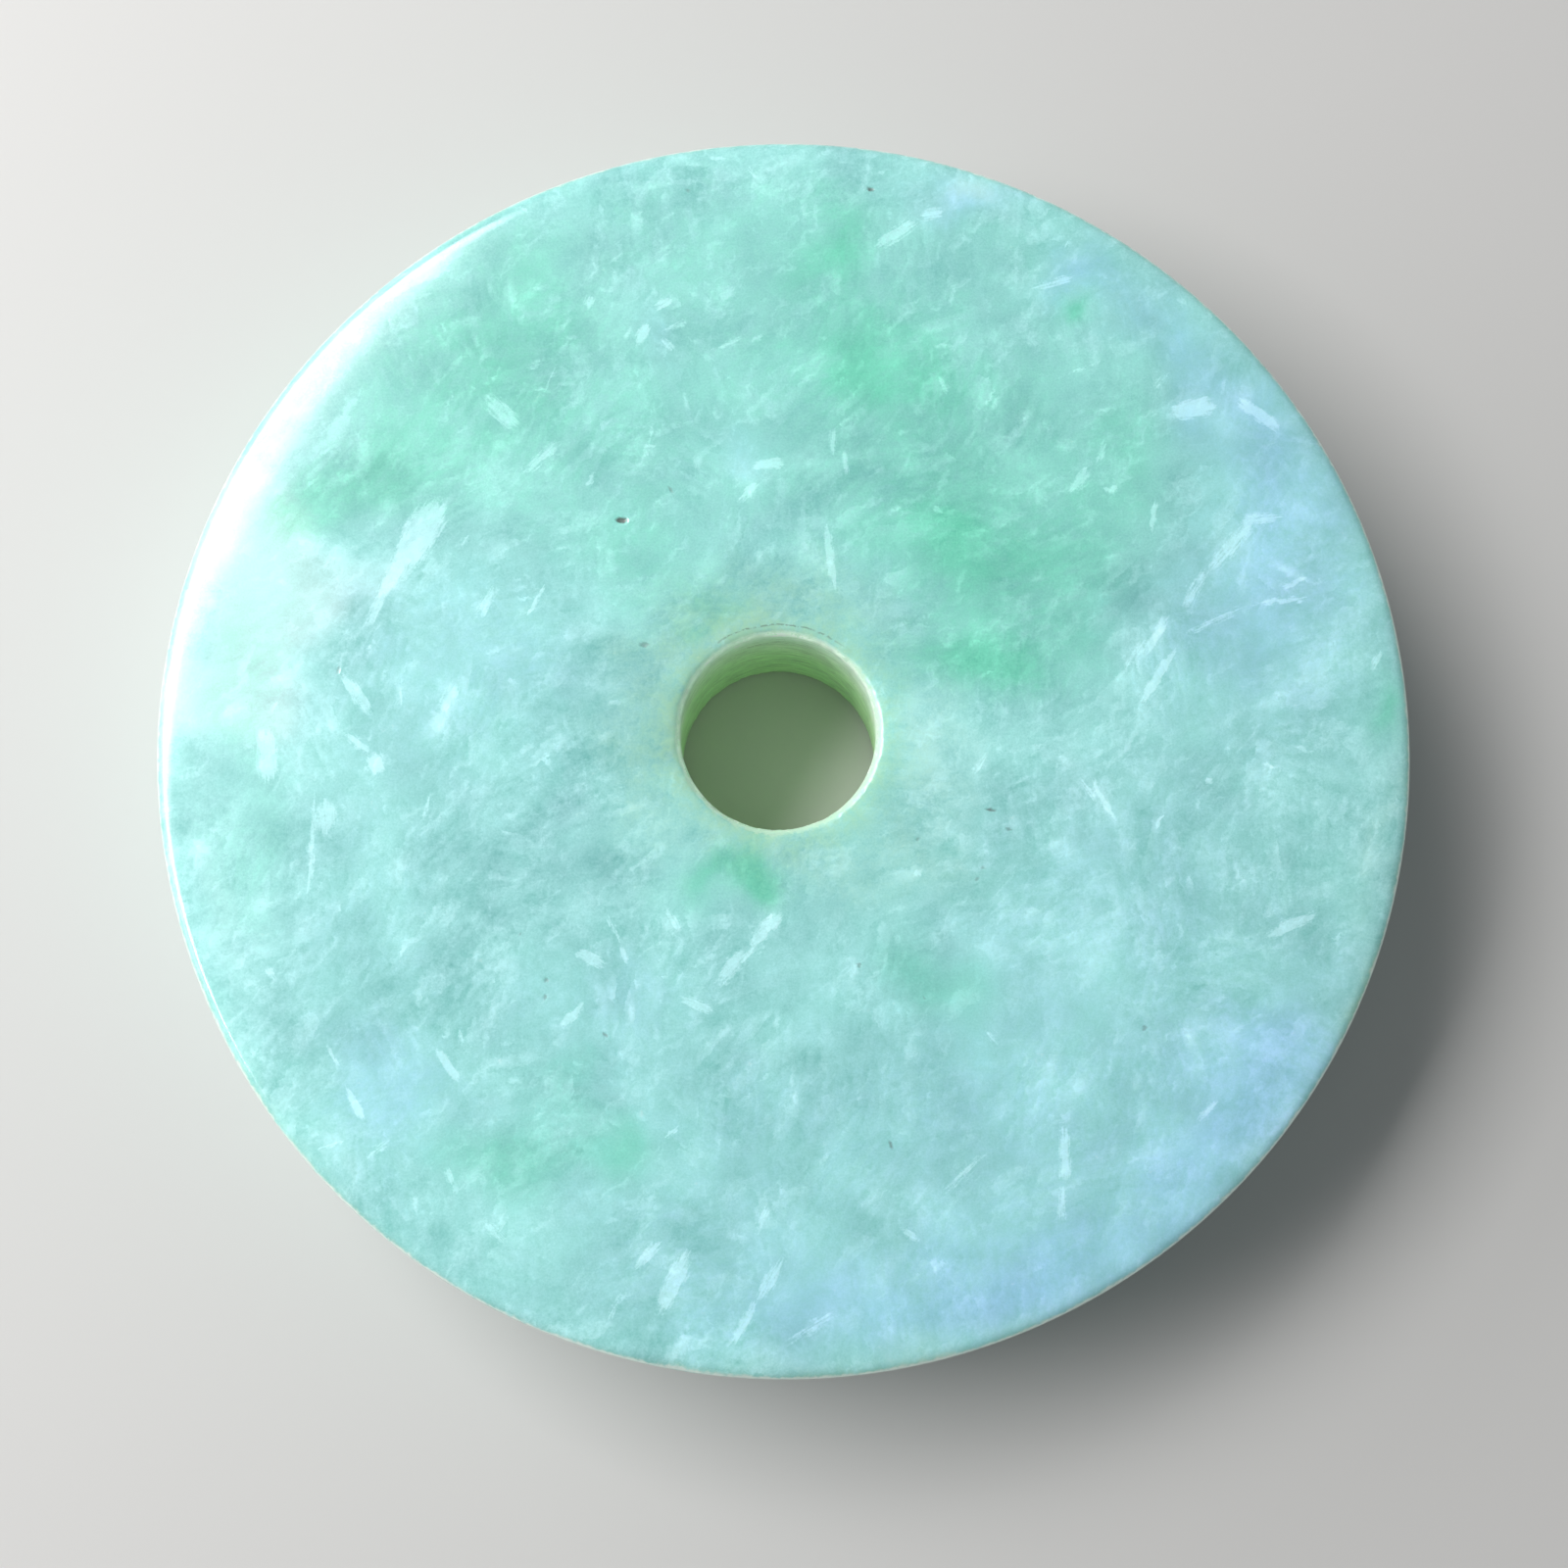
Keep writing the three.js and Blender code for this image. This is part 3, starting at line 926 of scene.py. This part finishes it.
def jade_material(sizes, colours):
    """Polished jade: clouds of colour, bundles of pale crystals, cream edges, dark specks, with painted light: a
    highlight along the rim's edges, a paler top to the wall of the hole and glare in the whitest clouds.
    """
    material = bpy.data.materials.new("jade")
    material.use_nodes = True
    material.node_tree.nodes.clear()
    net = Net(material.node_tree)
    mm = net.vector("SCALE", net.add("ShaderNodeTexCoord", out="Object"), scale=1 / MM)
    soft = net.noise(mm, 2.6, 3.0, 0.6)
    grain = net.noise(mm, 0.30, 3.0, 0.6)
    sugar = net.noise(mm, 0.10, 2.0, 0.6)
    ragged = net.vector("SCALE", net.vector("SUBTRACT", net.sibling(grain, "Color"), (0.5, 0.5, 0.5)), scale=0.45)
    bent = net.vector("ADD", mm, ragged)

    # Pale and deep tones, from large crystals down to single grains.
    mottle = net.noise(bent, 1.2, 3.0, 0.6)
    tone = (soft - 0.5) * 0.35 + (mottle - 0.5) * 0.50 + (grain - 0.5) * 0.28 + (sugar - 0.5) * 0.62

    # Wisps of pale stone, drawn out the way most crystals lie.
    drift = net.vector("SCALE", net.vector("SUBTRACT", net.sibling(soft, "Color"), (0.5, 0.5, 0.5)), scale=3.0)
    drifted = net.add(
        "ShaderNodeVectorRotate", {"rotation_type": "Z_AXIS"}, {"Vector": net.vector("ADD", bent, drift), "Angle": -0.9}
    )
    wisp = streaks(net, drifted, 2.8, 0.9, 4.0, 0.65)
    tone = tone + net.rise(wisp, 0.50, 0.74) * 0.44 - 0.10
    needles = 0
    for size, main, spread, seed in ((6.0, 0.95, 1.6, 0.0), (4.5, 0.80, 2.6, 31.0)):
        lying, inside = bundles(net, bent, size, main, spread, seed)
        large, large_far = crystals(net, lying, 2.6, 0.75)
        small, small_far = crystals(net, lying, 1.1, 0.28)
        drawn = streaks(net, lying, 1.8, 0.30)
        pale = net.rise(large, 0.78, 1.0) * (1 - net.rise(large_far, 0.20, 0.60)) * 0.34
        bright = net.rise(small, 0.84, 1.0) * (1 - net.rise(small_far, 0.15, 0.60)) * 0.42
        bright = (pale + bright) * (0.35 + net.rise(mottle + soft, 0.85, 1.25) * 1.1)
        tone = tone + inside * ((large - 0.5) * 0.16 + (small - 0.5) * 0.14 + (drawn - 0.5) * 0.34 + bright)
        needles = inside * (drawn - 0.5) + needles
    # The blue stone is smoother.
    tone = tone * (1 - net.rise(net.painted("lilac"), 0.0, 0.6, 0.4))

    # Clouds, with drawn-out edges.
    uneven = (soft - 0.5) * 1.0 + (mottle - 0.5) * 0.8 + (grain - 0.5) * 0.4 + needles * 0.8
    green = net.rise(net.painted("green") + uneven * 0.60, 0.05, 1.25)
    lilac = net.rise(net.painted("lilac") + uneven * 0.40, 0.05, 1.25)
    milk = net.rise(net.painted("milk") + uneven * 0.70, 0.10, 1.10)
    clear = net.rise(net.painted("clear") - uneven * 0.45, 0.10, 1.20)
    tone = tone + milk * 0.42
    depth = clear - (net.noise(mm, 4.0, 2.0, 0.5) - 0.5) * 3.0 - (soft - 0.5) * 1.2

    # Single blades, each a bundle of fine needles.
    along = net.add(
        "ShaderNodeVectorRotate", {"rotation_type": "Z_AXIS"}, {"Vector": mm, "Angle": 0 - net.painted("lie")}
    )
    needle = streaks(net, along, 0.8, 0.11, 2.0, 0.5)
    blade = net.rise(net.painted("blade") + (needle - 0.5) * 1.3 + (sugar - 0.5) * 0.4, 0.20, 0.75)
    blade = blade * net.rise(net.painted("blade"), 0.02, 0.30)
    tone = tone + blade * 0.62

    base = net.blend(green, (*colours.body, 1), (*colours.green, 1))
    base = net.blend(lilac, base, (*colours.lilac, 1))
    lift = net.add(
        "ShaderNodeVectorMath", {"operation": "MULTIPLY_ADD"}, {0: tone, 1: TONE_COLOUR, 2: (1.0, 1.0, 1.0)}
    )
    lift = net.vector("SUBTRACT", lift, net.vector("SCALE", DEEP_COLOUR, scale=depth))
    # Partly painted glare: more red where the milky clouds are strongest, along the left edge.
    lift = net.vector("ADD", lift, net.vector("SCALE", WHITE_AND_GLARE_COLOUR, scale=net.rise(net.painted("milk"), 0.6, 1.3)))
    base = net.vector("MULTIPLY", base, lift)

    # Stains, the sugary lips of the hole, its wall with lines from the drill and painted light towards its top, a
    # painted highlight along the rim's edges, and dirt.
    stain = net.rise(net.painted("cream") * (1 + (grain - 0.5) * 1.2 + (mottle - 0.5) * 1.6), 0.0, 1.0)
    base = net.blend(stain * 0.8, base, (*colours.cream, 1))
    rings = net.noise(net.vector("MULTIPLY", mm, (0.12, 0.12, 1.0)), 0.16, 2.0, 0.7)
    speck = net.rise(grain, 0.66, 0.74) * 0.5
    shade = 1 + (rings - 0.5) * 1.1 + (mottle - 0.5) * 0.7 + (grain - 0.5) * 0.3 - speck
    up = net.add("ShaderNodeSeparateXYZ", {}, {"Vector": mm}, out="Z")
    away = net.sibling(up, "Y")
    # Painted light: the wall is painted paler towards the top, where more light shines through the stone.
    wall_with_painted_light = net.blend(net.rise(up, 4.5, 10.4), (*colours.wall, 1), WALL_TOP_PAINTED_LIGHT)
    wall_with_painted_light = net.vector("SCALE", wall_with_painted_light, scale=shade)
    base = net.blend(net.painted("wall") * 0.9, base, wall_with_painted_light)
    lip = net.painted("lip")
    grains = (grain - 0.5) * 1.8 + (sugar - 0.5) * 1.4 + (mottle - 0.5) * 1.6
    lip = net.rise(lip + grains, 0.35, 0.85) * net.rise(lip, 0.05, 0.4)
    base = net.blend(lip * 0.8, base, LIP_COLOUR)
    # A painted highlight: a pale line along the edges of the rim, laid over the stone's colour.
    worn = net.rise(net.painted("worn") + (grain - 0.5) * 0.9 + (mottle - 0.5) * 1.2, 0.30, 0.90)
    base = net.blend(worn * 0.8, base, EDGE_HIGHLIGHT_COLOUR)
    # A thin dark line that follows the far side of the upper lip, drawn only where y is large.
    to_mouth = net.vector("SUBTRACT", mm, (sizes.hole_shift / MM, 0.0, sizes.thickness / MM))
    from_mouth = net.sibling(net.vector("LENGTH", to_mouth), "Value")
    far_lip_line_radius = (0.5 * sizes.hole_top + sizes.lip_radius) / MM + 0.08
    off_far_lip_line = from_mouth - far_lip_line_radius - (mottle - 0.5) * 0.3
    off_far_lip_line = net.add("ShaderNodeMath", {"operation": "ABSOLUTE"}, {0: off_far_lip_line})
    far_lip_line = (1 - net.rise(off_far_lip_line, 0.01, 0.06)) * net.rise(away, 3.6, 4.7) * net.rise(grain, 0.42, 0.55)
    base = net.blend(net.painted("dark") * 0.92 + far_lip_line * 0.5, base, (*colours.dirt, 1))

    rough = net.painted("rough")
    roughness = 0.10 + rough * 0.45 + (grain - 0.5) * 0.03 + net.painted("dark") * 0.4
    shader = net.add(
        "ShaderNodeBsdfPrincipled",
        {"subsurface_method": "BURLEY"},
        {
            "Base Color": base,
            "Roughness": roughness,
            "IOR": 1.66,
            "Subsurface Weight": 0.75,
            "Subsurface Radius": (0.6, 1.0, 0.85),
            "Subsurface Scale": 0.0025,
            "Coat Weight": 0.5,
            "Coat Roughness": 0.34,
            "Coat IOR": 1.5,
        },
    )
    output = net.tree.nodes.new("ShaderNodeOutputMaterial")
    net.tree.links.new(shader.socket, output.inputs["Surface"])
    return material


# The stage

CAMERA_PLACE = Vector((-0.135, -15.69, 99.04)) * MM
CAMERA_AIM = Vector((-0.009, -2.465, 10.5)) * MM
WINDOW_PLACE = Vector((-252, 100, 310)) * MM
WINDOW_LENGTH = 360 * MM
WINDOW_DEPTH = 210 * MM
WINDOW_TURN = math.radians(59)
SIDE_PLACE = Vector((-548, 221, 262)) * MM
SIDE_LENGTH = 860 * MM
SIDE_HEIGHT = 300 * MM
FLOOR_HALF = 3.0
FLOOR_COLOUR = (0.59, 0.58, 0.565, 1.0)


def floor_material():
    """A plain pale floor."""
    material = bpy.data.materials.new("pale_floor")
    material.use_nodes = True
    material.node_tree.nodes.clear()
    net = Net(material.node_tree)
    shader = net.add("ShaderNodeBsdfPrincipled", {}, {"Base Color": FLOOR_COLOUR, "Roughness": 0.7})
    output = net.tree.nodes.new("ShaderNodeOutputMaterial")
    net.tree.links.new(shader.socket, output.inputs["Surface"])
    return material


def make_floor():
    """A wide flat floor under the disc."""
    mesh = bpy.data.meshes.new("floor")
    half = FLOOR_HALF
    mesh.from_pydata([(-half, -half, 0), (half, -half, 0), (half, half, 0), (-half, half, 0)], [], [(0, 1, 2, 3)])
    floor = bpy.data.objects.new("floor", mesh)
    mesh.materials.append(floor_material())
    bpy.context.scene.collection.objects.link(floor)


def make_window(power):
    """A large soft light at the upper left, whose near edge shows in the polished edge of the disc."""
    lamp = bpy.data.lights.new("window", "AREA")
    lamp.shape = "RECTANGLE"
    lamp.size = WINDOW_LENGTH
    lamp.size_y = WINDOW_DEPTH
    lamp.energy = power
    lamp.color = (1.0, 1.0, 1.0)
    window = bpy.data.objects.new("window", lamp)
    window.location = WINDOW_PLACE
    window.rotation_euler = (0, 0, WINDOW_TURN)
    bpy.context.scene.collection.objects.link(window)


def make_side_light(power):
    """A wide low light at the left, which shows in the outer part of the polished edge."""
    lamp = bpy.data.lights.new("side_light", "AREA")
    lamp.shape = "RECTANGLE"
    lamp.size = SIDE_LENGTH
    lamp.size_y = SIDE_HEIGHT
    lamp.energy = power
    side = bpy.data.objects.new("side_light", lamp)
    side.location = SIDE_PLACE
    side.rotation_euler = (-SIDE_PLACE).to_track_quat("-Z", "Y").to_euler()
    bpy.context.scene.collection.objects.link(side)


def make_room_light(strength):
    """Even light from all round."""
    world = bpy.data.worlds.new("room")
    world.use_nodes = True
    world.node_tree.nodes["Background"].inputs["Color"].default_value = (0.93, 0.97, 1.0, 1)
    world.node_tree.nodes["Background"].inputs["Strength"].default_value = strength
    bpy.context.scene.world = world


def make_camera(lens):
    """The camera, nearly straight above the disc."""
    data = bpy.data.cameras.new("camera")
    data.lens = lens
    data.sensor_width = 36.0
    data.clip_start = 0.005
    camera = bpy.data.objects.new("camera", data)
    camera.location = CAMERA_PLACE
    camera.rotation_euler = (CAMERA_AIM - CAMERA_PLACE).to_track_quat("-Z", "Y").to_euler()
    bpy.context.scene.collection.objects.link(camera)
    bpy.context.scene.camera = camera


# Operators and panel


class BIDISC_OT_disc(bpy.types.Operator):
    """Make the jade disc"""

    bl_idname = "bi_disc.make_disc"
    bl_label = "Make Jade Disc"

    def execute(self, context):
        sizes = context.scene.bi_disc_sizes
        disc = turned_disc(sizes, jade_material(sizes, context.scene.bi_disc_colours))
        finish_disc(disc, sizes)
        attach(disc, "root")
        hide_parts("bi_disc")
        return {"FINISHED"}


class BIDISC_OT_stage(bpy.types.Operator):
    """Make the floor, the lights and the camera"""

    bl_idname = "bi_disc.make_stage"
    bl_label = "Make Stage"

    def execute(self, context):
        stage = context.scene.bi_disc_stage
        make_floor()
        make_window(stage.window)
        make_side_light(stage.side)
        make_room_light(stage.fill)
        make_camera(stage.lens)
        context.scene.view_settings.view_transform = "Standard"
        return {"FINISHED"}


class BIDISC_PT_panel(bpy.types.Panel):
    """Sizes, colours and buttons of the disc"""

    bl_idname = "BIDISC_PT_panel"
    bl_label = "Bi Disc"
    bl_space_type = "VIEW_3D"
    bl_region_type = "UI"
    bl_category = "Bi Disc"

    def draw(self, context):
        scene = context.scene
        for group in (scene.bi_disc_sizes, scene.bi_disc_colours, scene.bi_disc_stage):
            box = self.layout.box()
            for name in type(group).__annotations__:
                box.prop(group, name)
        self.layout.operator(BIDISC_OT_disc.bl_idname)
        self.layout.operator(BIDISC_OT_stage.bl_idname)


CLASSES = (BiDiscSizes, JadeColours, StageSizes, BIDISC_OT_disc, BIDISC_OT_stage, BIDISC_PT_panel)


def register():
    for one in CLASSES:
        bpy.utils.register_class(one)
    bpy.types.Scene.bi_disc_sizes = bpy.props.PointerProperty(type=BiDiscSizes)
    bpy.types.Scene.bi_disc_colours = bpy.props.PointerProperty(type=JadeColours)
    bpy.types.Scene.bi_disc_stage = bpy.props.PointerProperty(type=StageSizes)


def unregister():
    del bpy.types.Scene.bi_disc_stage
    del bpy.types.Scene.bi_disc_colours
    del bpy.types.Scene.bi_disc_sizes
    for one in reversed(CLASSES):
        bpy.utils.unregister_class(one)


def main():
    register()
    bpy.ops.bi_disc.make_disc()
    bpy.ops.bi_disc.make_stage()
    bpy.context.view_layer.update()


if __name__ == "__main__":
    main()
